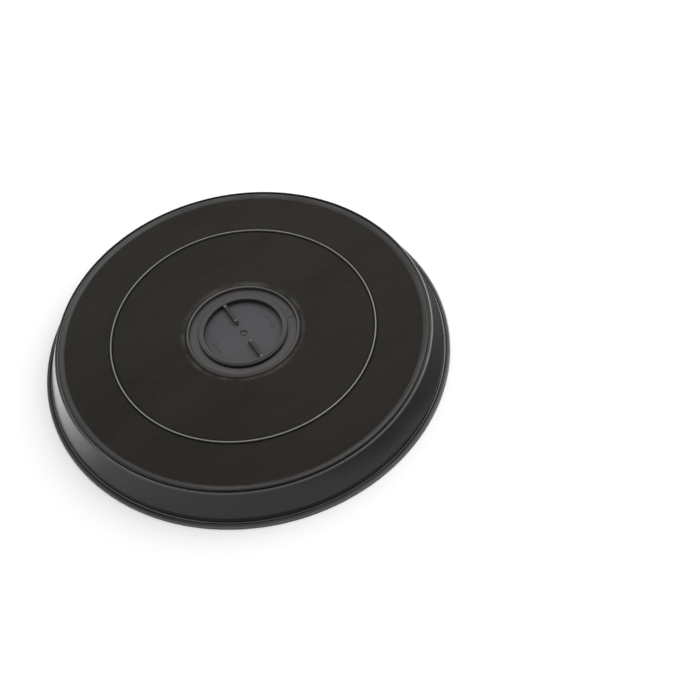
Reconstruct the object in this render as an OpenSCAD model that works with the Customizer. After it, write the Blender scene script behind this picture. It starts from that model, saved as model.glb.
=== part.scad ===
// Round carbon filter for a cooker hood, lying with its felted face up.
// Z = 0 is the underside of the flange, and the Z axis is the axis of the disc.
// One moulding makes the skirt, the lattice under the felt and the hub, which has
// a finger cup with two fins in front and a bayonet socket behind.

/* [Skirt] */
// Diameter over the flange lip
flange_d = 233; // [228:1:240]
// Height of the rim bead's crest above the flange's underside
body_h = 21; // [20:0.5:25]
// Thickness of the flange lip
lip_t = 1.6; // [1.2:0.1:2]
// Width of the flange lip
lip_w = 2; // [1.5:0.1:3]
// Rounding of the lip's upper edge
lip_round = 0.5; // [0.3:0.1:0.7]
// Width of the fine grooves round the foot
groove_w = 0.5; // [0.4:0.1:0.8]
// Depth of those grooves
groove_deep = 0.25; // [0.2:0.05:0.35]
// Width of the thin bead beside the lip
foot_bead_w = 0.9; // [0.7:0.1:1.2]
// Height of the upright band under the wall
foot_band_h = 4.3; // [3.8:0.1:4.6]
// How far the wall stands back from the band
wall_set = 0.4; // [0.2:0.1:0.8]
// How far the wall leans in from foot to shoulder
wall_lean = 5.5; // [4:0.1:6]
// Width of the flat on top of the shoulder
shoulder_w = 0.8; // [0.6:0.1:1.2]
// Width of the groove between the shoulder and the rim bead
step_w = 1.2; // [1:0.1:1.5]
// Depth of that groove below the shoulder
step_d = 0.9; // [0.5:0.1:1.1]
// Width of the rim bead round the felt
rim_bead_w = 3.6; // [3.2:0.1:4]
// Rounding of the rim bead's outer side
rim_bead_round = 1.2; // [0.9:0.1:1.4]
// Height of the rim bead above the shoulder
rim_bead_rise = 0.7; // [0.5:0.1:0.9]
// Least thickness of the skirt's wall
wall_t = 2.2; // [1.8:0.1:2.4]

/* [Felt face] */
// Depth of the felt's surface below the rim bead's crest
felt_drop = 1.1; // [0.9:0.1:1.3]
// Thickness of the felt
felt_t = 2; // [1.6:0.1:2.2]
// Gap round each felt's edges
felt_gap = 0.15; // [0.1:0.05:0.3]
// Rounding of the felt's top edges
felt_round = 0.6; // [0.3:0.1:0.8]
// How far the felt is pressed down beside the hub
felt_press = 0.5; // [0.3:0.1:0.7]
// Width over which it is pressed down
felt_press_w = 3; // [2:0.5:5]
// Diameter of the thin ring rib between the two felts
ring_rib_d = 150.4; // [144:0.4:158]
// Width of the ring rib
ring_rib_w = 1.5; // [1.2:0.1:2]
// Height of the ring rib above the felt
ring_rib_rise = 0.8; // [0.5:0.1:1]

/* [Lattices] */
// Thickness of the bars under the felt
bar_t = 2; // [1.6:0.1:2.4]
// Width of the bars under the felt
bar_w = 2.6; // [2:0.1:3.2]
// Full-length spokes in each lattice
spokes = 12; // [8:1:16]
// Rings inside each half of a lattice
half_rings = 2; // [1:1:3]
// Thickness of the rear lattice
cover_t = 2; // [1.6:0.1:2.4]
// Depth of the rear lattice inside the skirt
cover_depth = 3; // [2.6:0.1:3.2]
// Width of the rear lattice's bars
cover_bar_w = 2.2; // [1.8:0.1:3]
// Width of the rear lattice's outer and inner bands
cover_band_w = 4; // [3:0.1:5]
// Gap round the rear lattice's edges
cover_gap = 0.15; // [0.1:0.05:0.3]
// Width of the ledges that the rear lattice seats on
ledge_w = 1; // [0.8:0.1:1.4]
// Number of snap nibs under the rear lattice
nibs = 8; // [4:1:12]
// How far a snap nib stands in
nib_in = 0.5; // [0.4:0.05:0.7]
// Height of a snap nib
nib_h = 0.8; // [0.6:0.1:1]
// Arc that a snap nib covers, in degrees
nib_arc = 12; // [6:1:18]

/* [Filling] */
// Thickness of the rear fleece
fleece_t = 2; // [1.6:0.1:2.4]
// Gap round the fleece and the carbon
fill_gap = 0.3; // [0.2:0.05:0.5]

/* [Hub] */
// Diameter over the hub's lip
hub_d = 65.6; // [61.2:0.4:69.2]
// Thickness of the hub's wall and the width of its rounded lip
lip_bead_w = 2.2; // [1.8:0.1:2.4]
// Depth of the hub's lip below the rim bead's crest
hub_drop = 0.5; // [0.3:0.1:0.7]
// Gap between the hub's lip and the felt
hub_groove_w = 0.9; // [0.7:0.1:1.2]
// Depth of the ring floor below the hub's lip
ring_floor_drop = 2.1; // [1.8:0.1:2.4]
// Thickness of the floors in the hub
floor_t = 1.8; // [1.4:0.1:2]
// Inner diameter of the finger cup and of the bayonet socket
cup_d = 44.4; // [42:0.4:46]
// Width of the cup's rim
cup_rim_w = 3.2; // [2.6:0.1:3.6]
// Depth of the cup's rim below the hub's lip
cup_rim_drop = 0.1; // [0:0.1:0.4]
// Rounding of the cup's rim
cup_rim_round = 0.7; // [0.5:0.1:1]
// Depth of the cup's floor below its rim
cup_depth = 3.5; // [3.2:0.1:3.9]
// Thickness of the two fins
fin_t = 1.8; // [1.4:0.1:2.2]
// Distance from the axis to a fin's foot
fin_start = 7; // [6:0.1:9]
// Slope of a fin's inner end
fin_slope = 1.4; // [0.8:0.1:2]
// Depth of a fin's top below the cup's rim
fin_drop = 0.7; // [0.3:0.1:1]
// Diameter of the dimple in the middle
dimple_d = 4.8; // [4:0.1:6]
// Depth of the dimple
dimple_deep = 0.7; // [0.5:0.1:0.9]
// Diameter of the gate mark in the dimple
gate_d = 2; // [1.6:0.1:2.4]
// Height of the gate mark
gate_h = 0.4; // [0.2:0.05:0.5]

/* [Bayonet socket] */
// Wall thickness of the socket
socket_t = 2.2; // [1.8:0.1:2.4]
// Number of bayonet slots
slots = 2; // [2:1:3]
// Width of a slot's entry
slot_w = 5.4; // [4.4:0.1:5.8]
// Angle through which the filter is turned to lock
slot_turn = 18; // [12:1:20]
// Height of the locking run
slot_h = 3; // [2.4:0.1:3.6]
// Height of the locking run's lower edge above the socket's mouth
slot_up = 3.2; // [2.6:0.1:4]
// Ribs between the socket and the hub's wall
hub_ribs = 8; // [4:2:12]
// Thickness of those ribs
hub_rib_t = 1.4; // [1.2:0.1:1.8]
// Distance from the hub's rear edge up to those ribs
hub_rib_up = 5; // [3:0.5:8]

/* [Hidden] */
$fn = 180;
lap = 0.2;
arc_steps = 8;

// Radii of the skirt, from the lip inwards
lip_r = flange_d / 2;
lip_in_r = lip_r - lip_w;
foot_bead_r = lip_in_r - groove_w - foot_bead_w / 2;
band_r = lip_in_r - groove_w - foot_bead_w;
wall_r = band_r - wall_set;
shoulder_r = wall_r - wall_lean;
step_r = shoulder_r - shoulder_w;
rim_out_r = step_r - step_w;
rim_in_r = rim_out_r - rim_bead_w;

// Heights of the skirt
wall_z = foot_band_h + groove_w;
shoulder_z = body_h - rim_bead_rise;
shoulder_round = min(shoulder_w, 0.6);
felt_top = body_h - felt_drop;
felt_z = felt_top - felt_t;
bar_z = felt_z - bar_t;
cover_top = cover_depth + cover_t;
fleece_top = cover_top + fleece_t;

// The inside of the skirt runs beside the wall's outer face
function wall_out(z) = wall_r - wall_lean * (z - wall_z) / (shoulder_z - wall_z);
function wall_in(z) = wall_out(z) - wall_t * sqrt(1 + pow(wall_lean / (shoulder_z - wall_z), 2));
cover_r = wall_in(cover_top) + ledge_w;

// Radii and heights of the hub
hub_r = hub_d / 2;
hub_in_r = hub_r - lip_bead_w;
hub_top = body_h - hub_drop;
hub_felt_r = hub_r + hub_groove_w;
ledge_hub_r = hub_r + ledge_w;
ring_floor_z = hub_top - ring_floor_drop;
cup_r = cup_d / 2;
cup_out_r = cup_r + cup_rim_w;
cup_top = hub_top - cup_rim_drop;
cup_floor_z = cup_top - cup_depth;
socket_top = cup_floor_z - floor_t;

// Radii of the ring rib
rib_r = ring_rib_d / 2;
rib_in_r = rib_r - ring_rib_w / 2;
rib_out_r = rib_r + ring_rib_w / 2;
rib_seat_w = ring_rib_w + 2 * bar_w;

// Points of an arc round a centre, from one angle to another
function arc(cx, cz, r, from, to) =
    [for (i = [0 : arc_steps]) [cx + r * cos(from + (to - from) * i / arc_steps),
                                cz + r * sin(from + (to - from) * i / arc_steps)]];

// Points of a soft step, half a wave of a cosine, from one radius and height over a rise
function soft_step(from, to, height, rise) =
    [for (i = [1 : arc_steps - 1]) [from + (to - from) * i / arc_steps,
                                    height + rise * (1 - cos(180 * i / arc_steps)) / 2]];

// A plain ring with a rectangular section
module ring(inner_r, outer_r, low, high) {
    rotate_extrude()
        translate([inner_r, low])
            square([outer_r - inner_r, high - low]);
}

// The same ring as a flat outline
module flat_ring(inner_r, outer_r) {
    difference() {
        circle(r = outer_r);
        circle(r = inner_r);
    }
}

// Half-round bead on a straight foot
module beaded_ring(inner_r, width, low, high) {
    mid = inner_r + width / 2;
    rotate_extrude()
        polygon(concat([[inner_r + width, low]],
                       arc(mid, high - width / 2, width / 2, 0, 180),
                       [[inner_r, low]]));
}

// Outline of rings and spokes between two radii, with short spokes where the long ones spread
module lattice(inner_r, mid_r, outer_r, width) {
    inner_pitch = (mid_r - inner_r) / (half_rings + 1);
    outer_pitch = (outer_r - mid_r) / (half_rings + 1);
    for (i = [1 : half_rings]) {
        flat_ring(inner_r + i * inner_pitch - width / 2, inner_r + i * inner_pitch + width / 2);
        flat_ring(mid_r + i * outer_pitch - width / 2, mid_r + i * outer_pitch + width / 2);
    }
    for (i = [0 : 2 * spokes - 1]) {
        start = i % 2 == 0 ? inner_r - lap : inner_r + inner_pitch;
        rotate(i * 180 / spokes)
            translate([start, -width / 2])
                square([outer_r - start + lap, width]);
    }
}

// Outer wall with its foot, shoulder and rim bead
module skirt() {
    crest_r = rim_out_r - rim_bead_round;
    rotate_extrude()
        polygon(concat(
            [[cover_r, 0], [lip_r, 0]],
            arc(lip_r - lip_round, lip_t - lip_round, lip_round, 0, 90),
            [[lip_in_r, lip_t], [lip_in_r, lip_t - groove_deep],
             [lip_in_r - groove_w, lip_t - groove_deep]],
            arc(foot_bead_r, lip_t, foot_bead_w / 2, 0, 180),
            [[band_r, foot_band_h], [wall_r - groove_deep, foot_band_h],
             [wall_r - groove_deep, wall_z], [wall_r, wall_z]],
            arc(shoulder_r - shoulder_round, shoulder_z - shoulder_round, shoulder_round, 20, 90),
            [[step_r, shoulder_z], [step_r, shoulder_z - step_d], [rim_out_r, shoulder_z - step_d]],
            arc(crest_r, body_h - rim_bead_round, rim_bead_round, 0, 90),
            soft_step(crest_r, rim_in_r, body_h, -felt_drop),
            [[rim_in_r, felt_top], [rim_in_r, felt_z], [rim_in_r - bar_w, felt_z], [rim_in_r - bar_w, bar_z],
             [wall_in(bar_z), bar_z], [wall_in(cover_top), cover_top], [cover_r, cover_top]]));
}

// Snap nibs that hold the rear lattice against its ledge
module snap_nibs() {
    for (i = [0 : nibs - 1])
        rotate(i * 360 / nibs - nib_arc / 2)
            rotate_extrude(angle = nib_arc)
                polygon([[cover_r + lap, cover_depth], [cover_r - nib_in, cover_depth],
                         [cover_r, cover_depth - nib_h], [cover_r + lap, cover_depth - nib_h]]);
}

// Lattice under the felt, with the ring rib that stands up between the two felts
module face_lattice() {
    translate([0, 0, bar_z])
        linear_extrude(bar_t) {
            lattice(ledge_hub_r, rib_r, rim_in_r - bar_w, bar_w);
            flat_ring(hub_in_r, hub_felt_r + bar_w);
            flat_ring(rib_r - rib_seat_w / 2, rib_r + rib_seat_w / 2);
        }
    beaded_ring(rib_in_r, ring_rib_w, felt_z - lap, felt_top + ring_rib_rise);
}

// Hub wall with its rounded lip, stepped outside as a seat for the rear lattice
module hub_wall() {
    beaded_ring(hub_in_r, lip_bead_w, cover_depth, hub_top);
    ring(hub_r - lap, ledge_hub_r, cover_top, felt_z);
}

// Ring floor, cup rim and cup floor, with the dimple and its gate mark
module cup() {
    ring(cup_r, hub_in_r + lap, ring_floor_z - floor_t, ring_floor_z);
    rotate_extrude()
        polygon(concat(
            [[cup_out_r, ring_floor_z - floor_t]],
            arc(cup_out_r - cup_rim_round, cup_top - cup_rim_round, cup_rim_round, 0, 90),
            arc(cup_r + cup_rim_round, cup_top - cup_rim_round, cup_rim_round, 90, 180),
            [[cup_r, ring_floor_z - floor_t]]));
    difference() {
        translate([0, 0, socket_top])
            cylinder(r = cup_r + lap, h = floor_t);
        translate([0, 0, cup_floor_z - dimple_deep])
            cylinder(d = dimple_d, h = floor_t);
    }
    translate([0, 0, cup_floor_z - dimple_deep - lap])
        cylinder(d = gate_d, h = gate_h + lap);
}

// Two fins on one diameter of the cup, for finger and thumb
module fins() {
    for (side = [0, 1])
        rotate([90, 0, 90 + 180 * side])
            translate([0, 0, -fin_t / 2])
                linear_extrude(fin_t)
                    polygon([[fin_start, cup_floor_z - lap],
                             [cup_r + lap, cup_floor_z - lap],
                             [cup_r + lap, cup_top - fin_drop],
                             [fin_start + fin_slope, cup_top - fin_drop],
                             [fin_start, cup_floor_z + cup_depth / 4]]);
}

// One L-shaped slot: an entry from the mouth and a run to the locked place
module bayonet_slot() {
    entry_arc = 2 * asin(slot_w / 2 / cup_r);
    run_low = cover_depth + slot_up;
    rotate(-entry_arc / 2) {
        rotate_extrude(angle = entry_arc)
            translate([cup_r - lap, cover_depth - lap])
                square([socket_t + 2 * lap, slot_up + slot_h / 2 + lap]);
        rotate_extrude(angle = entry_arc + slot_turn)
            translate([cup_r - lap, run_low])
                square([socket_t + 2 * lap, slot_h]);
    }
}

// Socket behind the cup that turns onto the fan's boss
module socket() {
    difference() {
        ring(cup_r, cup_r + socket_t, cover_depth, ring_floor_z - floor_t + lap);
        for (i = [0 : slots - 1])
            rotate(90 + i * 360 / slots)
                bayonet_slot();
    }
}

// Ribs that tie the socket to the hub's wall under the ring floor
module socket_ribs() {
    low = cover_depth + hub_rib_up;
    for (i = [0 : hub_ribs - 1])
        rotate((i + 0.5) * 360 / hub_ribs)
            translate([cup_r + socket_t - lap, -hub_rib_t / 2, low])
                cube([hub_in_r - cup_r - socket_t + 2 * lap, hub_rib_t, ring_floor_z - floor_t + lap - low]);
}

module casing() {
    color([0.13, 0.125, 0.125]) {
        skirt();
        snap_nibs();
        face_lattice();
        hub_wall();
        cup();
        fins();
        socket();
        socket_ribs();
    }
}

module felt_outer() {
    inner = rib_out_r + felt_gap;
    outer = rim_in_r - felt_gap;
    color([0.09, 0.085, 0.08])
        rotate_extrude()
            polygon(concat(
                [[outer, felt_z], [inner, felt_z]],
                arc(inner + felt_round, felt_top - felt_round, felt_round, 180, 90),
                arc(outer - felt_round, felt_top - felt_round, felt_round, 90, 0)));
}

module felt_inner() {
    inner = hub_felt_r;
    outer = rib_in_r - felt_gap;
    press_end = inner + felt_round;
    color([0.09, 0.085, 0.08])
        rotate_extrude()
            polygon(concat(
                [[inner, felt_z], [outer, felt_z]],
                arc(outer - felt_round, felt_top - felt_round, felt_round, 0, 90),
                [[press_end + felt_press_w, felt_top]],
                soft_step(press_end + felt_press_w, press_end, felt_top, -felt_press),
                arc(press_end, felt_top - felt_press - felt_round, felt_round, 90, 180)));
}

// Granules between the fleece and the lattice, following the skirt's inside
module carbon_bed() {
    inner = ledge_hub_r + fill_gap;
    color([0.05, 0.05, 0.05])
        rotate_extrude()
            polygon([[inner, fleece_top], [wall_in(fleece_top) - fill_gap, fleece_top],
                     [wall_in(bar_z) - fill_gap, bar_z], [inner, bar_z]]);
}

module rear_fleece() {
    inner = ledge_hub_r + fill_gap;
    color([0.1, 0.095, 0.09])
        ring(inner, wall_in(fleece_top) - fill_gap, cover_top, fleece_top);
}

// Rear closure: two bands, rings and spokes, pressed up against both ledges
module rear_lattice() {
    inner = hub_r + cover_gap;
    outer = cover_r - cover_gap;
    color([0.13, 0.125, 0.125])
        translate([0, 0, cover_depth])
            linear_extrude(cover_t) {
                flat_ring(inner, inner + cover_band_w);
                flat_ring(outer - cover_band_w, outer);
                flat_ring(rib_r - cover_bar_w, rib_r + cover_bar_w);
                lattice(inner + cover_band_w, rib_r, outer - cover_band_w, cover_bar_w);
            }
}

casing();
felt_outer();
felt_inner();
carbon_bed();
rear_fleece();
rear_lattice();
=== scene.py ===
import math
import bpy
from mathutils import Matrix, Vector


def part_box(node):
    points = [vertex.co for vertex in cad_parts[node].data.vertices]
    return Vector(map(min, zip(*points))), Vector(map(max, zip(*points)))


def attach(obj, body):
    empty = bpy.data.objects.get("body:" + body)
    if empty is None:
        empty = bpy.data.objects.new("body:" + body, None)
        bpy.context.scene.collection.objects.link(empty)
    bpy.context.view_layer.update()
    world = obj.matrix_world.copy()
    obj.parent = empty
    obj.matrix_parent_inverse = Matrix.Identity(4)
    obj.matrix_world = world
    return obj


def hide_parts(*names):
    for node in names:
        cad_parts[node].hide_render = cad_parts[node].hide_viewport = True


bl_info = {
    "name": "Round carbon filter",
    "version": (1, 0, 0),
    "blender": (4, 5, 0),
    "location": "View3D > Sidebar > Carbon filter",
    "description": "Felts, fleece, mould marks and finishes of a cooker hood's round carbon filter",
    "category": "Object",
}

import bmesh
import bpy
from bpy.props import FloatProperty, FloatVectorProperty, IntProperty, PointerProperty
from mathutils import Matrix, Vector, noise

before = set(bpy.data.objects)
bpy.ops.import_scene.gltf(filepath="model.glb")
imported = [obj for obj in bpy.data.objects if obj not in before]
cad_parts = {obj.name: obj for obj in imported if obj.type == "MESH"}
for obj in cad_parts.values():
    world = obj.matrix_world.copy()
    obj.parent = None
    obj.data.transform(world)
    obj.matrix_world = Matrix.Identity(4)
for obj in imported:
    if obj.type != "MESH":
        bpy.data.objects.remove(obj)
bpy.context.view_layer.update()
MM = 0.001

CASING_LOW, CASING_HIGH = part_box("casing")
OUTER_LOW, OUTER_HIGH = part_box("felt_outer")
INNER_LOW, INNER_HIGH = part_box("felt_inner")
FLEECE_LOW, FLEECE_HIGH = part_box("rear_fleece")
LATTICE_LOW, LATTICE_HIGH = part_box("rear_lattice")


# Sizes and colours that a user would change

def length(name, description, default):
    return FloatProperty(name=name, description=description, default=default, unit="LENGTH", precision=5)


def colour(name, description, default):
    return FloatVectorProperty(name=name, description=description, default=default,
                               subtype="COLOR", size=3, min=0.0, max=1.0)


class FaceFeltSizes(bpy.types.PropertyGroup):
    """The two felts that show in the face"""
    rim_radius: length("Rim radius", "Inside of the rim bead, where the outer felt ends", 101.6 * MM)
    rib_radius: length("Rib radius", "Middle of the thin ring rib between the felts", 75.2 * MM)
    rib_width: length("Rib width", "Width of the ring rib", 1.5 * MM)
    hub_radius: length("Hub radius", "Inner edge of the inner felt, beside the hub's groove", 33.1 * MM)
    hub_ragged: length("Hub raggedness", "Unevenness of the felt's edge beside the hub", 0.15 * MM)
    press: length("Press", "How far the inner felt is pressed down beside the hub", 0.5 * MM)
    press_width: length("Press width", "Distance over which the inner felt is pressed down", 3.3 * MM)
    edge_rise: length("Edge rise", "Rise of a felt's needled edge against the rim bead", 0.2 * MM)
    rib_dip: length("Rib dip", "Fall of a felt's edge where it tucks in beside the ring rib", 0.45 * MM)
    sag: length("Sag", "Fall of the felt between the bars under it", 0.1 * MM)
    nap: length("Nap", "Unevenness of the needled surface", 0.09 * MM)
    segments: IntProperty(name="Segments", description="Steps round a felt", default=540, min=60)


class FleeceSizes(bpy.types.PropertyGroup):
    """The fleece behind the rear lattice"""
    hub_radius: length("Hub radius", "Inner edge of the fleece", 34.1 * MM)
    bulge: length("Bulge", "How far granules press the fleece between the bars", 0.35 * MM)
    segments: IntProperty(name="Segments", description="Steps round the fleece", default=360, min=60)


class FibreSizes(bpy.types.PropertyGroup):
    """Loose fibres that stand out of the felts"""
    density: FloatProperty(name="Density", description="Fibres to a square metre", default=150000.0, min=0.0)
    edge_density: FloatProperty(name="Edge density", description="More fibres to a square metre at the edges",
                                default=420000.0, min=0.0)
    length: length("Length", "Length of a loose fibre", 1.5 * MM)
    radius: length("Radius", "Half the thickness of a fibre", 0.017 * MM)
    lint: FloatProperty(name="Lint", description="Pale threads of lint to a square metre", default=5200.0, min=0.0)
    lint_length: length("Lint length", "Length of a thread of lint", 1.5 * MM)
    seed: IntProperty(name="Seed", description="Seed of the scatter", default=11)


class TurnMarkSizes(bpy.types.PropertyGroup):
    """Raised arrows in the cup, and the raised tick beside it"""
    floor_height: length("Cup floor", "Height of the cup's floor", 16.9 * MM)
    ring_floor_height: length("Ring floor", "Height of the ring floor", 18.4 * MM)
    radius: length("Radius", "Radius of an arrow's middle line", 17.4 * MM)
    sweep: FloatProperty(name="Sweep", description="Angle that an arrow covers", default=math.radians(34),
                         subtype="ANGLE")
    band: length("Band", "Width of an arrow's shaft", 1.0 * MM)
    head: length("Head", "Width of an arrow's head", 3.2 * MM)
    height: length("Height", "Height of the raised marks", 0.32 * MM)
    tick_inner: length("Tick start", "Radius where the tick starts", 27.0 * MM)
    tick_outer: length("Tick end", "Radius where the tick ends", 30.0 * MM)
    tick_width: length("Tick width", "Width of the tick", 0.9 * MM)


class PinMarkSizes(bpy.types.PropertyGroup):
    """Round marks that ejector pins leave in a moulding"""
    radius: length("Radius", "Radius of a pin mark", 1.3 * MM)
    height: length("Height", "Height of a pin mark's burr", 0.05 * MM)
    rear_circle: length("Rear circle", "Radius of the circle of marks on the rear lattice's outer band", 109.4 * MM)
    rear_count: IntProperty(name="Rear marks", description="Pin marks on the rear lattice", default=16, min=3)
    hub_circle: length("Hub circle", "Radius of the circle of marks on the ring floor", 28.0 * MM)
    hub_count: IntProperty(name="Hub marks", description="Pin marks on the ring floor", default=6, min=3)


class FinishColours(bpy.types.PropertyGroup):
    """Colours of the finishes"""
    plastic: colour("Plastic", "Black polypropylene", (0.0150, 0.0126, 0.0118))
    # Colour of the painted highlights on the plastic's edges.
    plastic_highlight: colour("Rubbed plastic", "Edges rubbed pale", (0.30, 0.295, 0.29))
    # Pale tones of the ring floor and the cup's floor; the cup floor's cooler tint is a painted reflection.
    ring_floor: colour("Ring floor", "Dull film on the ring floor", (0.050, 0.045, 0.044))
    cup_floor: colour("Cup floor", "Cooler film on the cup's floor", (0.064, 0.064, 0.073))
    felt: colour("Felt", "Warm charcoal needled felt", (0.0240, 0.0219, 0.0192))
    felt_pale: colour("Pale felt", "Thin felt and pale fibres", (0.070, 0.066, 0.061))
    lint: colour("Lint", "Pale lint", (0.26, 0.25, 0.24))
    fleece: colour("Fleece", "Dark grey fleece", (0.036, 0.034, 0.032))
    granules: colour("Granules", "Activated carbon", (0.010, 0.010, 0.010))


class StageSettings(bpy.types.PropertyGroup):
    """Floor, lights and camera"""
    floor_size: length("Floor size", "Side of the floor", 12.0)
    floor: colour("Floor", "Floor as the object sees it", (0.80, 0.80, 0.80))
    dome: FloatProperty(name="Dome", description="Level of the soft light all round", default=1.0, min=0.0)
    key: FloatProperty(name="Key", description="Power of the soft box behind, in watts", default=0.55, min=0.0)
    key_away: length("Key distance", "Distance of the soft box", 0.5)
    key_size: length("Key size", "Side of the soft box", 0.36)
    key_turn: FloatProperty(name="Key turn", description="Direction of the soft light, from the X axis",
                            default=math.radians(5), subtype="ANGLE")
    key_height: FloatProperty(name="Key height", description="Height of the soft light above the horizon",
                              default=math.radians(60), subtype="ANGLE")
    strip: FloatProperty(name="Strip", description="Power of the strip light on the right, in watts",
                         default=0.5, min=0.0)


# Shader nodes as expressions

class Wire:
    """An output socket that can be used in an expression of values."""

    def __init__(self, tree, socket):
        self.tree, self.socket = tree, socket

    def _math(self, operation, first, second=None, clamp=False):
        node = self.tree.nodes.new("ShaderNodeMath")
        node.operation, node.use_clamp = operation, clamp
        for slot, value in zip(node.inputs, (first, second)):
            if isinstance(value, Wire):
                self.tree.links.new(value.socket, slot)
            elif value is not None:
                slot.default_value = value
        return Wire(self.tree, node.outputs[0])

    def __add__(self, other): return self._math("ADD", self, other)
    def __radd__(self, other): return self._math("ADD", other, self)
    def __sub__(self, other): return self._math("SUBTRACT", self, other)
    def __rsub__(self, other): return self._math("SUBTRACT", other, self)
    def __mul__(self, other): return self._math("MULTIPLY", self, other)
    def __rmul__(self, other): return self._math("MULTIPLY", other, self)
    def __truediv__(self, other): return self._math("DIVIDE", self, other)
    def __rtruediv__(self, other): return self._math("DIVIDE", other, self)
    def __pow__(self, other): return self._math("POWER", self, other)
    def __neg__(self): return self._math("MULTIPLY", self, -1.0)
    def __abs__(self): return self._math("ABSOLUTE", self)
    def root(self): return self._math("SQRT", self)
    def held(self): return self._math("ADD", self, 0.0, clamp=True)
    def at_most(self, other): return self._math("MINIMUM", self, other)
    def at_least(self, other): return self._math("MAXIMUM", self, other)


class Finish:
    """A material or world whose nodes are made one call at a time."""

    def __init__(self, tree):
        self.tree = tree
        tree.nodes.clear()

    def node(self, kind, settings=None, **values):
        """A node of a kind: its settings first, then values or wires by input name, with _ for a space."""
        made = self.tree.nodes.new("ShaderNode" + kind)
        for key, value in (settings or {}).items():
            if key == "stops":
                ramp = made.color_ramp.elements
                while len(ramp) < len(value):
                    ramp.new(0.5)
                for stop, (place, shade) in zip(ramp, value):
                    stop.position, stop.color = place, shade
            else:
                setattr(made, key, value)
        for key, value in values.items():
            slots = [s for s in made.inputs if s.enabled and s.name == key.replace("_", " ")]
            if not slots:
                raise KeyError(f"{kind} has no input {key}")
            if isinstance(value, Wire):
                self.tree.links.new(value.socket, slots[0])
            elif isinstance(value, (tuple, list, Vector)) and slots[0].type == "RGBA":
                slots[0].default_value = (*value[:3], 1.0)
            else:
                slots[0].default_value = value
        return made

    def out(self, made, name=None):
        """The wire of a node's output."""
        sockets = [s for s in made.outputs if s.enabled]
        return Wire(self.tree, next(s for s in sockets if name is None or s.name == name))

    def place(self, stretch=(1.0, 1.0, 1.0)):
        """Object coordinates in metres, stretched."""
        coords = self.out(self.node("TexCoord"), "Object")
        if stretch == (1.0, 1.0, 1.0):
            return coords
        made = self.tree.nodes.new("ShaderNodeVectorMath")
        made.operation = "MULTIPLY"
        self.tree.links.new(coords.socket, made.inputs[0])
        made.inputs[1].default_value = stretch
        return Wire(self.tree, made.outputs[0])

    def axes(self):
        """The x, y and z of the place on the object, in millimetres."""
        made = self.node("SeparateXYZ", Vector=self.place((1000.0, 1000.0, 1000.0)))
        return self.out(made, "X"), self.out(made, "Y"), self.out(made, "Z")

    def noise(self, scale, detail=3.0, roughness=0.5, distortion=0.0, stretch=(1.0, 1.0, 1.0)):
        """Soft noise from 0 to 1; scale is in waves to a metre."""
        made = self.node("TexNoise", {"noise_dimensions": "3D"}, Vector=self.place(stretch), Scale=scale,
                         Detail=detail, Roughness=roughness, Distortion=distortion)
        return self.out(made, "Fac") if "Fac" in made.outputs else self.out(made)

    def cells(self, scale, feature="F1", stretch=(1.0, 1.0, 1.0)):
        made = self.node("TexVoronoi", {"feature": feature}, Vector=self.place(stretch), Scale=scale)
        return self.out(made, "Distance")

    def blend(self, factor, first, second):
        """A colour between two colours or wires."""
        made = self.tree.nodes.new("ShaderNodeMix")
        made.data_type = "RGBA"
        for slot, value in ((made.inputs[0], factor), (made.inputs[6], first), (made.inputs[7], second)):
            if isinstance(value, Wire):
                self.tree.links.new(value.socket, slot)
            elif slot.type == "RGBA":
                slot.default_value = (*value[:3], 1.0)
            else:
                slot.default_value = value
        return Wire(self.tree, made.outputs[2])

    def bump(self, height, depth, strength=1.0, under=None):
        """A normal from a height of 0 to 1 that stands for depth metres."""
        values = {"Strength": strength, "Distance": depth, "Height": height}
        if under is not None:
            values["Normal"] = under
        return self.out(self.node("Bump", **values), "Normal")

    def finish(self, **values):
        """Ends a material in one Principled surface."""
        surface = self.node("BsdfPrincipled", **values)
        end = self.tree.nodes.new("ShaderNodeOutputMaterial")
        self.tree.links.new(surface.outputs[0], end.inputs["Surface"])


def new_finish(name):
    material = bpy.data.materials.new(name)
    material.use_nodes = True
    return material, Finish(material.node_tree)


def band(value, middle, half, soft):
    """1 where value is within half of middle, falling to 0 over soft."""
    return ((half + soft - abs(value - middle)) / soft).held()


# Materials

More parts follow.
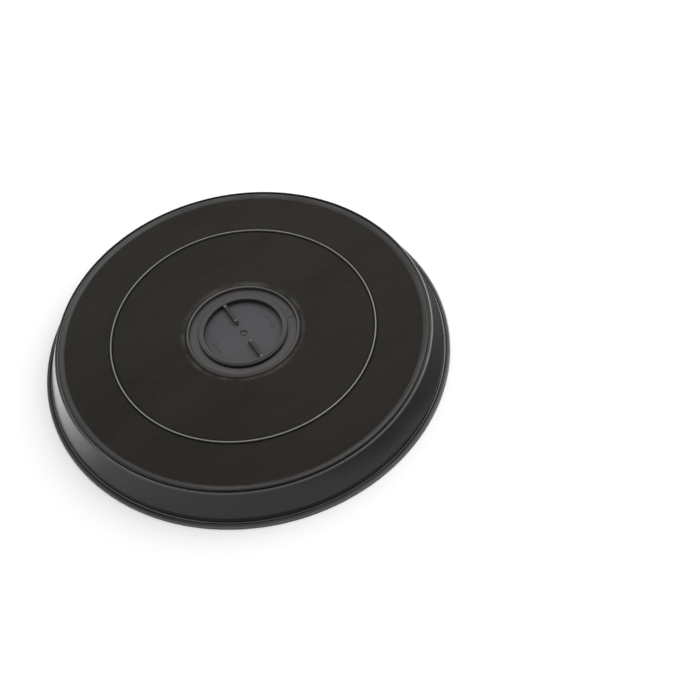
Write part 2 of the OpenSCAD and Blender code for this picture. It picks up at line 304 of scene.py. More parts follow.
def satin_plastic(colours):
    """Black polypropylene, satin, with painted highlights on its edges, a paler tone on the hub's floors and tops, and
    painted light and shade on some sides and in its creases.
    """
    material, f = new_finish("satin_plastic")
    x, y, z = f.axes()
    radius = (x * x + y * y).root()
    cloud = f.noise(38.0, 4.0, 0.55)
    grain = f.noise(2600.0, 2.0, 0.6)
    scuffs = f.noise(240.0, 3.0, 0.65, stretch=(1.0, 6.0, 1.0))
    # A paler tone on the ring floor, the cup's floor, rim and fin tops, the bead, the lip, the groove, the flange and
    # the foot.
    ring_floor_tone = band(radius, 28.15, 2.45, 0.15) * band(z, 18.5, 0.5, 0.3)
    cup_floor_tone = band(radius, 0.0, 22.1, 0.25) * band(z, 16.9, 0.5, 0.4)
    fin_top_tone = band(radius, 0.0, 22.1, 0.25) * band(z, 19.8, 0.3, 0.2) * 0.10
    cup_rim_tone = band(radius, 23.8, 1.2, 0.25) * band(z, 20.45, 0.1, 0.2)
    # Masks by side of the object, used to paint light and shade onto one side.
    near_side = ((-0.35 * x - 0.94 * y) / 20.0 - 0.2).held()
    # Painted shade: the outer side of the cup's rim is made darker on the near side, and loses its pale tone there.
    rim_painted_shade = band(radius, 24.7, 1.0, 0.4) * near_side
    cup_rim_tone = cup_rim_tone * (1.0 - rim_painted_shade)
    bloom = f.noise(38.0, 3.0, 0.55)
    bead_tone_painted_shade = band(radius, 103.2, 0.6, 0.6) * band(z, 20.8, 0.6, 0.5) * (0.55 + 2.5 * (bloom - 0.42)).held()
    # Painted shade: the bead's pale tone is made darker towards the far left.
    bead_tone_painted_shade = bead_tone_painted_shade * (1.0 - 0.55 * ((-0.94 * x + 0.34 * y - 55.0) / 30.0).held())
    # Pale tone on the hub's lip, painted lighter on the near side.
    lip_tone_painted_light = band(radius, 32.0, 0.9, 0.3) * band(z, 20.0, 0.6, 0.3) * (0.12 + 0.05 * near_side)
    # Painted light: the groove beside the hub, which lies in shade, is made paler on the near side.
    groove_painted_light = band(radius, 32.9, 0.4, 0.2) * band(z, 19.6, 0.9, 0.3) * near_side
    # Pale tone on the flange, painted darker on the left side.
    flange_tone_painted_shade = band(radius, 115.4, 1.0, 0.4) * band(z, 1.6, 0.25, 0.2) * (1.3 - 1.1 * ((-60.0 - x) / 30.0).held())
    # More masks by side, for painted light and shade.
    near_rim = ((-0.35 * x - 0.94 * y - 88.0) / 20.0).held()
    right_side = ((x - 55.0) / 40.0).held() * ((40.0 - y) / 40.0).held()
    foot_tone = band(radius, 113.2, 0.4, 0.4) * band(z, 3.0, 1.2, 0.4) * 0.3
    left_side = ((-0.985 * x + 0.17 * y - 45.0) / 30.0).held()
    # Painted highlights: thin pale lines on the rib's crest, the lip, the step, the shoulder, the foot, the flange and
    # the fins' ends, stronger on the right and left sides and broken up by noise.
    step_edge = band(radius, 105.8, 0.15, 0.2) * band(z, 18.5, 3.0, 0.5) * left_side
    lip_edge = band(radius, 31.3, 0.2, 0.25) * band(z, 20.5, 0.1, 0.25)
    rib_crest = band(radius, 75.2, 0.18, 0.2) * band(z, 20.8, 0.3, 0.25)
    shoulder_edge = band(radius, 107.0, 0.42, 0.35) * band(z, 20.2, 0.3, 0.3)
    foot_edge = band(radius, 113.55, 0.2, 0.2) * band(z, 2.0, 0.15, 0.2)
    flange_edge = band(radius, 116.3, 0.3, 0.35) * band(z, 1.4, 0.4, 0.3)
    fin_ends = (band(x, 0.0, 0.9, 0.1) * band(z, 19.7, 0.1, 0.3)
                * (band(radius, 21.7, 0.5, 0.5) + band(radius, 8.6, 0.5, 0.5)))
    highlight_breakup = (0.55 + 0.7 * cloud) * (0.7 + 0.6 * scuffs)
    painted_highlights = (rib_crest * 0.85 + lip_edge * (0.26 - 0.24 * near_side) + step_edge * 0.45
              + shoulder_edge * (0.15 + 0.85 * right_side) + foot_edge * (0.20 + 0.8 * right_side + 0.2 * left_side)
              + flange_edge * (0.25 + 0.5 * right_side) + fin_ends * 0.35).held() * highlight_breakup
    base = f.blend((cloud - 0.35).held() * 0.9, colours.plastic, tuple(c * 1.35 for c in colours.plastic))
    pale_tone = (ring_floor_tone + cup_rim_tone + bead_tone_painted_shade + groove_painted_light + lip_tone_painted_light + flange_tone_painted_shade + foot_tone).held()
    # Painted light: the hub's floors are made paler towards the left and the near side.
    painted_hub_light = band(radius, 0.0, 34.0, 1.0) * ((-0.8 * x - 0.6 * y) / 28.0 + 0.3).held()
    dull = f.blend(painted_hub_light, colours.ring_floor, tuple(c * 1.35 for c in colours.ring_floor))
    base = f.blend(pale_tone * (0.76 + 0.7 * (cloud - 0.35)), base, dull)
    base = f.blend((cup_floor_tone + fin_top_tone) * (0.72 + 0.6 * (cloud - 0.4)), base, colours.cup_floor)
    # Narrow grooves at the bead and the foot: bumped in, and painted darker as painted shade, at the bead on the left
    # side and at the foot away from the near side.
    creases_and_shade = (band(radius, 104.4, 0.1, 0.3) * band(z, 20.8, 0.6, 0.4) * left_side
               + band(radius, 114.3, 0.15, 0.25) * band(z, 1.8, 0.9, 0.3) * (1.0 - near_rim)).held()
    # Painted shade: the creases and the near side of the cup's rim are blended towards a darker plastic.
    base = f.blend((creases_and_shade + rim_painted_shade).held() * 0.8, base, tuple(c * 0.3 for c in colours.plastic))
    # The painted highlights laid over the colour.
    base = f.blend(painted_highlights.held(), base, colours.plastic_highlight)
    rough = (0.27 + 0.08 * (grain - 0.5) + 0.12 * (cloud - 0.5) + 0.16 * pale_tone + 0.30 * cup_floor_tone).held()
    skin = f.bump(grain, 0.000018)
    skin = f.bump(cloud, 0.00022, 0.35, under=skin)
    skin = f.bump(1.0 - creases_and_shade, 0.0004, under=skin)
    f.finish(Base_Color=base, Roughness=rough, Normal=skin, Specular_IOR_Level=0.45)
    return material


def needled_felt(colours):
    """Needled felt: matted fibres, faint cloudiness along the web, thinner and paler at the edges, and painted lighter
    towards the far side.
    """
    material, f = new_finish("needled_felt")
    x, y, z = f.axes()
    radius = (x * x + y * y).root()
    web = f.noise(26.0, 4.0, 0.6, 0.3, stretch=(0.45, 1.6, 1.0))
    mat_fibres = f.noise(1500.0, 3.0, 0.7, 1.2, stretch=(0.55, 1.0, 1.0))
    cross_fibres = f.noise(1700.0, 2.0, 0.7, 1.6, stretch=(1.0, 0.5, 1.0))
    needles = f.cells(420.0)
    patches = f.noise(90.0, 2.0, 0.5)
    halo = band(radius, 33.4, 0.9, 1.8) * ((patches - 0.30) * 2.6).held() * (0.7 + 1.1 * mat_fibres)
    # A slight paleness all over, with painted light that grows towards the far side.
    pale_with_painted_far_light = (0.075 + 0.085 * (0.35 * x + 0.94 * y) / 95.0).held()
    pale = ((mat_fibres - 0.55) * 3.0).held() * 0.14 + halo * 0.75 + (web - 0.5) * 0.22 + pale_with_painted_far_light * 0.8
    base = f.blend(pale.held(), colours.felt, colours.felt_pale)
    base = f.blend((0.5 - web).held() * 1.1, base, tuple(c * 0.62 for c in colours.felt))
    matted = f.bump(mat_fibres * 0.6 + cross_fibres * 0.4, 0.00016, 0.8)
    matted = f.bump(needles, 0.00012, 0.45, under=matted)
    matted = f.bump(web, 0.0011, 0.30, under=matted)
    f.finish(Base_Color=base, Roughness=0.95, Normal=matted, Specular_IOR_Level=0.06)
    return material


def thin_fleece(colours):
    """Thin fleece with the granules showing faintly through it."""
    material, f = new_finish("thin_fleece")
    web = f.noise(60.0, 4.0, 0.6)
    fibres = f.noise(1300.0, 3.0, 0.75, 1.4)
    grains = f.cells(520.0)
    base = f.blend(((grains - 0.25) * 1.4).held(), tuple(c * 0.6 for c in colours.fleece),
                   tuple(c * 1.25 for c in colours.fleece))
    base = f.blend(((fibres - 0.56) * 3.2).held() * 0.6, base, tuple(c * 2.2 for c in colours.fleece))
    base = f.blend((web - 0.5).held() * 0.8, base, tuple(c * 1.6 for c in colours.fleece))
    nap = f.bump(grains, 0.00035, 0.5)
    nap = f.bump(fibres, 0.00016, 0.8, under=nap)
    f.finish(Base_Color=base, Roughness=0.92, Normal=nap, Specular_IOR_Level=0.15)
    return material


def loose_granules(colours):
    """Packed grains, dull black, each turned its own way."""
    material, f = new_finish("loose_granules")
    grains = f.cells(430.0)
    dust = f.noise(900.0, 3.0, 0.6)
    base = f.blend((grains * 1.3).held(), tuple(c * 0.5 for c in colours.granules),
                   tuple(c * 2.0 for c in colours.granules))
    f.finish(Base_Color=base, Roughness=(0.72 + 0.3 * (dust - 0.5)).held(),
             Normal=f.bump(1.0 - grains, 0.0012, 0.9), Specular_IOR_Level=0.35)
    return material


def loose_fibre(colours):
    material, f = new_finish("loose_fibre")
    tone = f.noise(300.0, 2.0)
    base = f.blend(((tone - 0.4) * 2.2).held(), colours.felt, colours.felt_pale)
    f.finish(Base_Color=base, Roughness=0.8, Specular_IOR_Level=0.2)
    return material


def lint_thread(colours):
    material, f = new_finish("lint_thread")
    tone = f.noise(180.0, 2.0)
    base = f.blend(((tone - 0.35) * 2.0).held(), tuple(c * 0.45 for c in colours.lint), colours.lint)
    f.finish(Base_Color=base, Roughness=0.85, Specular_IOR_Level=0.2)
    return material


# Mesh makers

def add_object(name, mesh):
    made = bpy.data.objects.new(name, mesh)
    bpy.context.scene.collection.objects.link(made)
    return made


def turned_ring(name, profile, segments, shape):
    """A closed ring: each (radius, height) of the profile goes round, moved by shape(angle, radius, height)."""
    rows = len(profile)
    points, faces = [], []
    for i in range(segments):
        angle = 2 * math.pi * i / segments
        for r, h in profile:
            r2, h2 = shape(angle, r, h)
            points.append((r2 * math.cos(angle), r2 * math.sin(angle), h2))
    for i in range(segments):
        here, there = i * rows, (i + 1) % segments * rows
        for j in range(rows):
            k = (j + 1) % rows
            faces.append((here + j, here + k, there + k, there + j))
    mesh = bpy.data.meshes.new(name)
    mesh.from_pydata(points, [], faces)
    mesh.update()
    sides = bmesh.new()
    sides.from_mesh(mesh)
    bmesh.ops.recalc_face_normals(sides, faces=sides.faces)
    sides.to_mesh(mesh)
    sides.free()
    mesh.polygons.foreach_set("use_smooth", [True] * len(mesh.polygons))
    return add_object(name, mesh)


def felt_profile(inner, outer, low, high, steps, round_off):
    """Section of a felt: flat below, rounded at both top edges, with steps across the top."""
    quarter = [math.radians(a) for a in (0, 30, 60, 90)]
    left = [(inner + round_off * (1 - math.cos(a)), high - round_off * (1 - math.sin(a))) for a in quarter]
    right = [(outer - round_off * (1 - math.cos(a)), high - round_off * (1 - math.sin(a)))
             for a in reversed(quarter)]
    start, end = inner + round_off, outer - round_off
    across = [(start + (end - start) * i / steps, high) for i in range(1, steps)]
    floor = [(outer + (inner - outer) * i / 4, low) for i in range(5)]
    return left + across + right + floor


def wobble(angle, radius, scale, seed):
    """Noise from -1 to 1 at a place on the disc; scale is in waves to a metre."""
    return noise.noise(Vector((radius * math.cos(angle) * scale, radius * math.sin(angle) * scale, seed)))


def mark_edges(piece, edges, width):
    """Point attribute that is 1 at the edges of a felt and falls to 0 over width, for the fibres."""
    near = piece.data.attributes.new("edge", "FLOAT", "POINT")
    values = []
    for v in piece.data.vertices:
        r = math.hypot(v.co.x, v.co.y)
        values.append(max(0.0, 1.0 - min(abs(r - e) for e in edges) / width))
    near.data.foreach_set("value", values)


def scatter_tree(name, material, lies_flat):
    """Geometry Nodes tree that grows short bent fibres on the upward faces of a felt."""
    tree = bpy.data.node_groups.new(name, "GeometryNodeTree")
    face = tree.interface
    face.new_socket("Geometry", in_out="INPUT", socket_type="NodeSocketGeometry")
    for label, kind in (("Density", "Float"), ("Edge density", "Float"), ("Length", "Float"),
                        ("Radius", "Float"), ("Seed", "Int")):
        face.new_socket(label, in_out="INPUT", socket_type="NodeSocket" + kind)
    face.new_socket("Geometry", in_out="OUTPUT", socket_type="NodeSocketGeometry")
    new, link = tree.nodes.new, tree.links.new
    source, end = new("NodeGroupInput"), new("NodeGroupOutput")

    normal = new("GeometryNodeInputNormal")
    split = new("ShaderNodeSeparateXYZ")
    link(normal.outputs[0], split.inputs[0])
    upward = new("FunctionNodeCompare")
    upward.data_type, upward.operation = "FLOAT", "GREATER_THAN"
    link(split.outputs["Z"], upward.inputs[0])
    upward.inputs[1].default_value = 0.3
    edge = new("GeometryNodeInputNamedAttribute")
    edge.data_type = "FLOAT"
    edge.inputs["Name"].default_value = "edge"
    more = new("ShaderNodeMath")
    more.operation = "MULTIPLY_ADD"
    link(edge.outputs["Attribute"], more.inputs[0])
    link(source.outputs["Edge density"], more.inputs[1])
    link(source.outputs["Density"], more.inputs[2])

    scatter = new("GeometryNodeDistributePointsOnFaces")
    scatter.distribute_method = "RANDOM"
    link(source.outputs["Geometry"], scatter.inputs["Mesh"])
    link(upward.outputs[0], scatter.inputs["Selection"])
    link(more.outputs[0], scatter.inputs["Density"])
    link(source.outputs["Seed"], scatter.inputs["Seed"])

    bend = new("GeometryNodeCurveQuadraticBezier")
    bend.inputs["Resolution"].default_value = 4
    rise = 0.12 if lies_flat else 0.42
    bend.inputs["Start"].default_value = (-0.5, 0.0, -0.02)
    bend.inputs["Middle"].default_value = (0.0, 0.35, rise)
    bend.inputs["End"].default_value = (0.5, -0.1, 0.02 if lies_flat else 0.18)
    thick = new("GeometryNodeCurvePrimitiveCircle")
    thick.mode = "RADIUS"
    thick.inputs["Resolution"].default_value = 3
    ratio = new("ShaderNodeMath")
    ratio.operation = "DIVIDE"
    link(source.outputs["Radius"], ratio.inputs[0])
    link(source.outputs["Length"], ratio.inputs[1])
    link(ratio.outputs[0], thick.inputs["Radius"])
    tube = new("GeometryNodeCurveToMesh")
    link(bend.outputs[0], tube.inputs["Curve"])
    link(thick.outputs[0], tube.inputs["Profile Curve"])

    turn = new("FunctionNodeRandomValue")
    turn.data_type = "FLOAT_VECTOR"
    tilt = 0.12 if lies_flat else 0.5
    turn.inputs[0].default_value = (-tilt, -tilt, 0.0)
    turn.inputs[1].default_value = (tilt, tilt, 2 * math.pi)
    link(source.outputs["Seed"], turn.inputs["Seed"])
    grow = new("FunctionNodeRandomValue")
    grow.data_type = "FLOAT"
    grow.inputs[2].default_value = 0.45
    grow.inputs[3].default_value = 1.3
    link(source.outputs["Seed"], grow.inputs["Seed"])
    size = new("ShaderNodeMath")
    size.operation = "MULTIPLY"
    link(grow.outputs[1], size.inputs[0])
    link(source.outputs["Length"], size.inputs[1])
    plant = new("GeometryNodeInstanceOnPoints")
    link(scatter.outputs["Points"], plant.inputs["Points"])
    link(tube.outputs[0], plant.inputs["Instance"])
    link(turn.outputs[0], plant.inputs["Rotation"])
    link(size.outputs[0], plant.inputs["Scale"])
    real = new("GeometryNodeRealizeInstances")
    link(plant.outputs[0], real.inputs[0])
    paint = new("GeometryNodeSetMaterial")
    paint.inputs["Material"].default_value = material
    link(real.outputs[0], paint.inputs["Geometry"])
    link(paint.outputs[0], end.inputs[0])
    return tree


def ring_marks_tree(name, material):
    """Geometry Nodes tree that sets low round pin marks on a circle."""
    tree = bpy.data.node_groups.new(name, "GeometryNodeTree")
    face = tree.interface
    face.new_socket("Geometry", in_out="INPUT", socket_type="NodeSocketGeometry")
    for label, kind in (("Count", "Int"), ("Circle radius", "Float"), ("Mark radius", "Float"),
                        ("Mark height", "Float"), ("Level", "Float")):
        face.new_socket(label, in_out="INPUT", socket_type="NodeSocket" + kind)
    face.new_socket("Geometry", in_out="OUTPUT", socket_type="NodeSocketGeometry")
    new, link = tree.nodes.new, tree.links.new
    source, end = new("NodeGroupInput"), new("NodeGroupOutput")
    circle = new("GeometryNodeMeshCircle")
    link(source.outputs["Count"], circle.inputs["Vertices"])
    link(source.outputs["Circle radius"], circle.inputs["Radius"])
    lift = new("ShaderNodeCombineXYZ")
    link(source.outputs["Level"], lift.inputs["Z"])
    raised = new("GeometryNodeSetPosition")
    link(circle.outputs["Mesh"], raised.inputs["Geometry"])
    link(lift.outputs[0], raised.inputs["Offset"])
    mark = new("GeometryNodeMeshCylinder")
    mark.inputs["Vertices"].default_value = 28
    link(source.outputs["Mark radius"], mark.inputs["Radius"])
    link(source.outputs["Mark height"], mark.inputs["Depth"])
    plant = new("GeometryNodeInstanceOnPoints")
    link(raised.outputs[0], plant.inputs["Points"])
    link(mark.outputs["Mesh"], plant.inputs["Instance"])
    real = new("GeometryNodeRealizeInstances")
    link(plant.outputs[0], real.inputs[0])
    paint = new("GeometryNodeSetMaterial")
    paint.inputs["Material"].default_value = material
    link(real.outputs[0], paint.inputs["Geometry"])
    link(paint.outputs[0], end.inputs[0])
    return tree


def grown(name, base_mesh, tree, inputs, material):
    """A plain mesh object from a Geometry Nodes tree that runs on a mesh."""
    holder = add_object(name + "_source", base_mesh)
    modifier = holder.modifiers.new("nodes", "NODES")
    modifier.node_group = tree
    sockets = {s.name: s.identifier for s in tree.interface.items_tree if s.in_out == "INPUT"}
    for label, value in inputs.items():
        modifier[sockets[label]] = value
    ready = holder.evaluated_get(bpy.context.evaluated_depsgraph_get())
    mesh = bpy.data.meshes.new_from_object(ready)
    mesh.name = name
    if not mesh.polygons:
        raise RuntimeError(f"{name}: the nodes made no faces")
    holder.modifiers.clear()
    bpy.data.objects.remove(holder)
    mesh.materials.clear()
    mesh.materials.append(material)
    mesh.polygons.foreach_set("material_index", [0] * len(mesh.polygons))
    return add_object(name, mesh)


def raised_outline(name, outline, level, height, sink, bevel):
    """A raised mark: an outline of (x, y), sunk a little into its floor, with bevelled upper edges."""
    work = bmesh.new()
    low = [work.verts.new((x, y, level - sink)) for x, y in outline]
    floor = work.faces.new(low)
    top = bmesh.ops.extrude_face_region(work, geom=[floor])
    risen = [g for g in top["geom"] if isinstance(g, bmesh.types.BMVert)]
    bmesh.ops.translate(work, vec=(0, 0, height + sink), verts=risen)
    rim = [e for e in work.edges if all(abs(v.co.z - level - height) < 1e-7 for v in e.verts)]
    bmesh.ops.bevel(work, geom=rim, offset=bevel, segments=2, affect="EDGES", profile=0.5)
    bmesh.ops.recalc_face_normals(work, faces=work.faces)
    mesh = bpy.data.meshes.new(name)
    work.to_mesh(mesh)
    work.free()
    return mesh


def arrow_outline(sizes, start, sweep):
    """Outline of a curved arrow with its head at the end of the sweep."""
    r, half, wing = sizes.radius, sizes.band / 2, sizes.head / 2
    head_arc = 1.1 * sizes.head / r * math.copysign(1, sweep)
    neck = start + sweep - head_arc
    steps = 14
    angles = [start + (neck - start) * i / steps for i in range(steps + 1)]
    outside = [((r + half) * math.cos(a), (r + half) * math.sin(a)) for a in angles]
    inside = [((r - half) * math.cos(a), (r - half) * math.sin(a)) for a in reversed(angles)]
    tip = start + sweep
    head = [((r + wing) * math.cos(neck), (r + wing) * math.sin(neck)),
            (r * math.cos(tip), r * math.sin(tip)),
            ((r - wing) * math.cos(neck), (r - wing) * math.sin(neck))]
    return outside + head + inside


def shared(name, maker):
    """The material of that name, made once."""
    return bpy.data.materials.get(name) or maker(bpy.context.scene.filter_finishes)


# Operators

class FILTER_OT_casing(bpy.types.Operator):
    """Gives the casing and the rear lattice their moulded plastic"""
    bl_idname = "carbon_filter.casing"
    bl_label = "Casing and rear lattice"

    def execute(self, context):
        plastic = shared("satin_plastic", satin_plastic)
        for node in ("casing", "rear_lattice"):
            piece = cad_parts[node]
            piece.data.materials.clear()
            piece.data.materials.append(plastic)
        return {"FINISHED"}


class FILTER_OT_face_felts(bpy.types.Operator):
    """Makes the two needled felts of the face"""
    bl_idname = "carbon_filter.face_felts"
    bl_label = "Face felts"

    def execute(self, context):
        s = context.scene.filter_felts
        felt = shared("needled_felt", needled_felt)
        rib_in, rib_out = s.rib_radius - s.rib_width / 2, s.rib_radius + s.rib_width / 2

        low, high = OUTER_LOW[2], OUTER_HIGH[2]

        def surface(inner, outer, at_hub):
            def shape(angle, radius, height):
                across = min(max((radius - inner) / (outer - inner), 0.0), 1.0)
                from_plastic = radius - inner if at_hub else outer - radius
                from_rib = outer - radius if at_hub else radius - inner
                if height > low + 1.0 * MM:
                    rough = wobble(angle, radius, 900.0, 3.1) + 0.6 * wobble(angle, radius, 2300.0, 7.7)
                    if at_hub:
                        away = min(max(from_plastic / s.press_width, 0.0), 1.0)
                        height -= s.press * (1 + math.cos(math.pi * away)) / 2
                    height -= s.sag * math.sin(math.pi * across) * (0.7 + 0.6 * wobble(angle, radius, 45.0, 1.3))
                    height += s.nap * rough * min(1.0, min(from_plastic, from_rib) / (1.2 * MM) + 0.4)
                    height -= s.rib_dip * max(0.0, 1 - from_rib / (0.9 * MM)) ** 1.5
                    if not at_hub:
                        fluff = 0.7 + wobble(angle, radius, 260.0, 9.2)
                        height += s.edge_rise * max(0.0, 1 - from_plastic / (1.4 * MM)) * fluff
                if at_hub and from_plastic < 0.4 * MM:
                    radius -= s.hub_ragged * (wobble(angle, inner, 170.0, 5.0) + 0.5 * wobble(angle, inner, 700.0, 8.0))
                elif not at_hub and from_plastic < 0.05 * MM:
                    radius += 0.05 * MM * wobble(angle, outer, 700.0, 5.0)
                return radius, height
            return shape

        outer = turned_ring("felt_outer_cloth",
                            felt_profile(rib_out + 0.02 * MM, s.rim_radius, low, high, 34, 0.22 * MM),
                            s.segments, surface(rib_out, s.rim_radius, False))
        inner = turned_ring("felt_inner_cloth",
                            felt_profile(s.hub_radius, rib_in - 0.02 * MM, low, high, 44, 0.3 * MM),
                            s.segments, surface(s.hub_radius, rib_in, True))
        spans = {outer: (rib_out, s.rim_radius, "felt_outer"), inner: (s.hub_radius, rib_in, "felt_inner")}
        for piece, (near, far, node) in spans.items():
            mark_edges(piece, (near, far), 2.2 * MM)
            piece.data.materials.append(felt)
            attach(piece, "root")
            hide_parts(node)
        return {"FINISHED"}


class FILTER_OT_felt_fibres(bpy.types.Operator):
    """Grows loose fibres and lint on the felts"""
    bl_idname = "carbon_filter.felt_fibres"
    bl_label = "Felt fibres"

    def execute(self, context):
        f = context.scene.filter_fibres
        s = context.scene.filter_felts
        fibre, lint = shared("loose_fibre", loose_fibre), shared("lint_thread", lint_thread)
        loose = scatter_tree("loose_fibres", fibre, False)
        threads = scatter_tree("lint_threads", lint, True)
        rib_in, rib_out = s.rib_radius - s.rib_width / 2, s.rib_radius + s.rib_width / 2
        spans = {"outer": (rib_out, s.rim_radius), "inner": (s.hub_radius, rib_in)}
        for step, (name, (near, far)) in enumerate(spans.items()):
            cloth = bpy.data.objects[f"felt_{name}_cloth"]
            for tree, label, material, density, edge, size, seed in (
                    (loose, "fibres", fibre, f.density, f.edge_density, f.length, f.seed + step),
                    (threads, "lint", lint, f.lint, 0.0, f.lint_length, f.seed + 40 + step)):
                inputs = {"Density": density, "Edge density": edge, "Length": size,
                          "Radius": f.radius if label == "fibres" else f.radius * 1.5, "Seed": seed}
                piece = grown(f"felt_{name}_{label}", cloth.data.copy(), tree, inputs, material)
                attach(piece, "root")
            2 * far
            2 * far
            math.pi * (far ** 2 - near ** 2)
        return {"FINISHED"}


class FILTER_OT_rear_fleece(bpy.types.Operator):
    """Makes the fleece that the rear lattice holds"""
    bl_idname = "carbon_filter.rear_fleece"
    bl_label = "Rear fleece"

    def execute(self, context):
        s = context.scene.filter_fleece
        fleece = shared("thin_fleece", thin_fleece)
        low, high, far = FLEECE_LOW[2], FLEECE_HIGH[2], FLEECE_HIGH[0]
        steps = 48
        under = [(s.hub_radius + (far - s.hub_radius) * i / steps, low) for i in range(steps + 1)]
        over = [(far + (s.hub_radius - far) * i / 6, high) for i in range(7)]

        def shape(angle, radius, height):
            if height < low + 0.5 * MM:
                height += s.bulge * (0.45 + 0.55 * wobble(angle, radius, 420.0, 2.0))
            return radius, height

        piece = turned_ring("rear_fleece_cloth", under + over, s.segments, shape)
        piece.data.materials.append(fleece)
        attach(piece, "root")
        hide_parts("rear_fleece")
        return {"FINISHED"}


class FILTER_OT_granules(bpy.types.Operator):
    """Gives the carbon bed its packed granules"""
    bl_idname = "carbon_filter.granules"
    bl_label = "Carbon granules"

    def execute(self, context):
        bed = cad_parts["carbon_bed"]
        bed.data.materials.clear()
        bed.data.materials.append(shared("loose_granules", loose_granules))
        return {"FINISHED"}


class FILTER_OT_turn_marks(bpy.types.Operator):
    """Makes the two raised turning arrows in the cup and the tick on the ring floor"""
    bl_idname = "carbon_filter.turn_marks"
    bl_label = "Turning arrows and tick"

    def execute(self, context):
        s = context.scene.filter_marks
        plastic = shared("satin_plastic", satin_plastic)
        for name, middle in (("turn_arrow_right", math.radians(-4)), ("turn_arrow_left", math.radians(177))):
            outline = arrow_outline(s, middle + s.sweep / 2, -s.sweep)
            mesh = raised_outline(name, outline, s.floor_height, s.height, 0.1 * MM, 0.08 * MM)
            piece = add_object(name, mesh)
            piece.data.materials.append(plastic)
            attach(piece, "root")
        turn = Matrix.Rotation(math.radians(-12), 2)
        half = s.tick_width / 2
        corners = [(s.tick_inner, -half), (s.tick_outer, -half), (s.tick_outer, half), (s.tick_inner, half)]
        outline = [tuple(turn @ Vector(c)) for c in corners]
        mesh = raised_outline("index_tick", outline, s.ring_floor_height, s.height, 0.1 * MM, 0.08 * MM)
        piece = add_object("index_tick", mesh)
        piece.data.materials.append(plastic)
        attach(piece, "root")
        return {"FINISHED"}


class FILTER_OT_pin_marks(bpy.types.Operator):
    """Makes the ejector pins' round marks on the ring floor and on the rear lattice"""
    bl_idname = "carbon_filter.pin_marks"
    bl_label = "Pin marks"

    def execute(self, context):
        s = context.scene.filter_pins
        plastic = shared("satin_plastic", satin_plastic)
        tree = ring_marks_tree("pin_marks", plastic)
        floor = context.scene.filter_marks.ring_floor_height
        for name, count, circle, level in (
                ("pin_marks_hub", s.hub_count, s.hub_circle, floor),
                ("pin_marks_lattice", s.rear_count, s.rear_circle, LATTICE_LOW[2])):
            seed_mesh = bpy.data.meshes.new(name + "_seed")
            seed_mesh.from_pydata([(0, 0, 0)], [], [])
            inputs = {"Count": count, "Circle radius": circle, "Mark radius": s.radius,
                      "Mark height": s.height, "Level": level}
            piece = grown(name, seed_mesh, tree, inputs, plastic)
            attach(piece, "root")
        return {"FINISHED"}


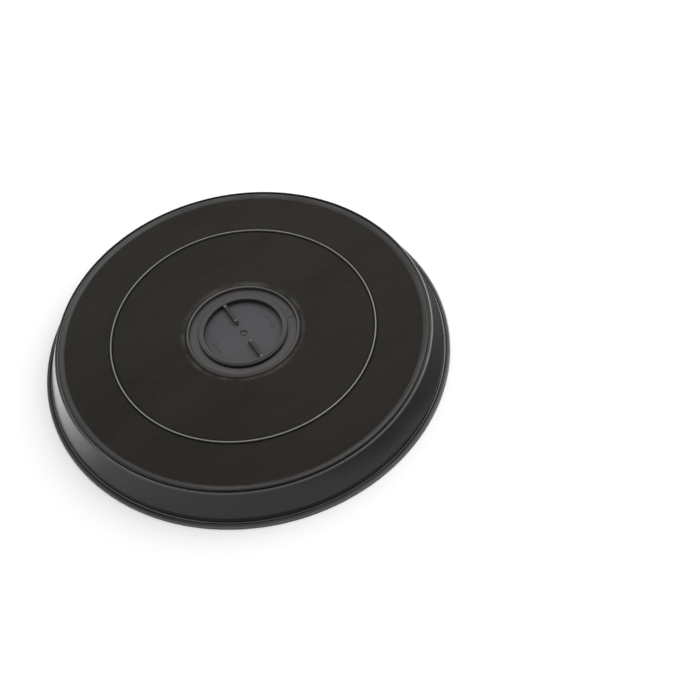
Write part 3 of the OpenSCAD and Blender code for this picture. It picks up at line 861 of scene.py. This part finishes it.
class FILTER_OT_stage(bpy.types.Operator):
    """Makes the floor, the soft lights, the white surround and the camera"""
    bl_idname = "carbon_filter.stage"
    bl_label = "Stage"

    def execute(self, context):
        s = context.scene.filter_stage
        self.floor(s)
        self.surround(s)
        towards = Vector((math.cos(s.key_height) * math.cos(s.key_turn),
                          math.cos(s.key_height) * math.sin(s.key_turn), math.sin(s.key_height)))
        self.box("key", s.key_away * towards, (s.key_size, s.key_size), s.key)
        self.box("strip_right", (1.15, 0.16, 0.16), (0.9, 0.22), s.strip)
        self.camera(context)
        context.scene.view_settings.view_transform = "Standard"
        return {"FINISHED"}

    def floor(self, s):
        half = s.floor_size / 2
        mesh = bpy.data.meshes.new("floor")
        mesh.from_pydata([(-half, -half, 0), (half, -half, 0), (half, half, 0), (-half, half, 0)], [], [(0, 1, 2, 3)])
        piece = add_object("floor", mesh)
        material, f = new_finish("floor")
        x, y, z = f.axes()
        path = f.node("LightPath")
        lit = ((y + 24.0) / 60.0).held() * ((-70.0 - x) / 30.0).held()
        shaded = (((0.62 * x - 0.785 * y - 118.0) / 16.0).held() + ((x - 62.0) / 25.0).held()).held()
        around = f.blend(shaded * 0.80, tuple(s.floor), (0.05, 0.05, 0.05))
        base = f.blend(f.out(path, "Is Camera Ray"), around, (1.0, 1.0, 1.0))
        shown = f.out(path, "Is Camera Ray") * 0.06
        glow = f.blend(f.out(path, "Is Glossy Ray") * lit + shown, (0.0, 0.0, 0.0), (1.0, 1.0, 1.0))
        f.finish(Base_Color=base, Roughness=1.0, Specular_IOR_Level=0.0, Emission_Color=glow,
                 Emission_Strength=1.3)
        mesh.materials.append(material)

    def seen(self, f):
        """1 for a ray from the camera or through glass, and part of that for a reflection."""
        path = f.node("LightPath")
        return (f.out(path, "Is Camera Ray") + f.out(path, "Is Transmission Ray")
                + 0.4 * f.out(path, "Is Glossy Ray")).held()

    def surround(self, s):
        world = bpy.data.worlds.new("surround")
        bpy.context.scene.world = world
        world.use_nodes = True
        f = Finish(world.node_tree)
        way = f.node("SeparateXYZ", Vector=f.out(f.node("TexCoord"), "Generated"))
        x, y, z = f.out(way, "X"), f.out(way, "Y"), f.out(way, "Z")
        dome = s.dome * (0.45 + 0.18 * (0.8 * x + 0.6 * y) + 0.80 * z * z).at_least(0.12)
        seen = self.seen(f)
        level = seen + (1.0 - seen) * dome
        background = f.node("Background", Color=(1.0, 1.0, 1.0), Strength=level)
        end = f.tree.nodes.new("ShaderNodeOutputWorld")
        f.tree.links.new(background.outputs[0], end.inputs["Surface"])

    def box(self, name, place, size, power):
        lamp = bpy.data.lights.new(name, "AREA")
        lamp.shape, lamp.size, lamp.size_y, lamp.energy = "RECTANGLE", size[0], size[1], power
        piece = bpy.data.objects.new(name, lamp)
        bpy.context.scene.collection.objects.link(piece)
        piece.location = place
        piece.rotation_euler = (Vector((0, 0, 0.01)) - Vector(place)).to_track_quat("-Z", "Y").to_euler()

    def camera(self, context):
        lens = bpy.data.cameras.new("camera")
        lens.lens, lens.sensor_width = 65.385, 36.0
        piece = bpy.data.objects.new("camera", lens)
        context.scene.collection.objects.link(piece)
        turn, height, roll = math.radians(-26.061), math.radians(52.978), math.radians(-7.189)
        aim = Vector((0.0489, -0.0334, 0.0))
        back = Vector((math.sin(turn) * math.cos(height), -math.cos(turn) * math.cos(height), math.sin(height)))
        piece.location = aim + 0.729 * back
        facing = (-back).to_track_quat("-Z", "Y").to_matrix() @ Matrix.Rotation(roll, 3, "Z")
        piece.rotation_euler = facing.to_euler()
        context.scene.camera = piece


class FILTER_PT_panel(bpy.types.Panel):
    """Lists the filter's pieces in the sidebar"""
    bl_label = "Carbon filter"
    bl_idname = "FILTER_PT_panel"
    bl_space_type = "VIEW_3D"
    bl_region_type = "UI"
    bl_category = "Carbon filter"

    def draw(self, context):
        for operator in OPERATORS:
            self.layout.operator(operator.bl_idname)


OPERATORS = (FILTER_OT_casing, FILTER_OT_face_felts, FILTER_OT_felt_fibres, FILTER_OT_rear_fleece,
             FILTER_OT_granules, FILTER_OT_turn_marks, FILTER_OT_pin_marks, FILTER_OT_stage)
SETTINGS = {"filter_felts": FaceFeltSizes, "filter_fleece": FleeceSizes, "filter_fibres": FibreSizes,
            "filter_marks": TurnMarkSizes, "filter_pins": PinMarkSizes, "filter_finishes": FinishColours,
            "filter_stage": StageSettings}


def register():
    for group in SETTINGS.values():
        bpy.utils.register_class(group)
    for name, group in SETTINGS.items():
        setattr(bpy.types.Scene, name, PointerProperty(type=group))
    for operator in OPERATORS:
        bpy.utils.register_class(operator)
    bpy.utils.register_class(FILTER_PT_panel)


def unregister():
    bpy.utils.unregister_class(FILTER_PT_panel)
    for operator in reversed(OPERATORS):
        bpy.utils.unregister_class(operator)
    for name, group in SETTINGS.items():
        delattr(bpy.types.Scene, name)
        bpy.utils.unregister_class(group)


def main():
    register()
    for operator in OPERATORS:
        group, action = operator.bl_idname.split(".")
        getattr(getattr(bpy.ops, group), action)()


if __name__ == "__main__":
    main()
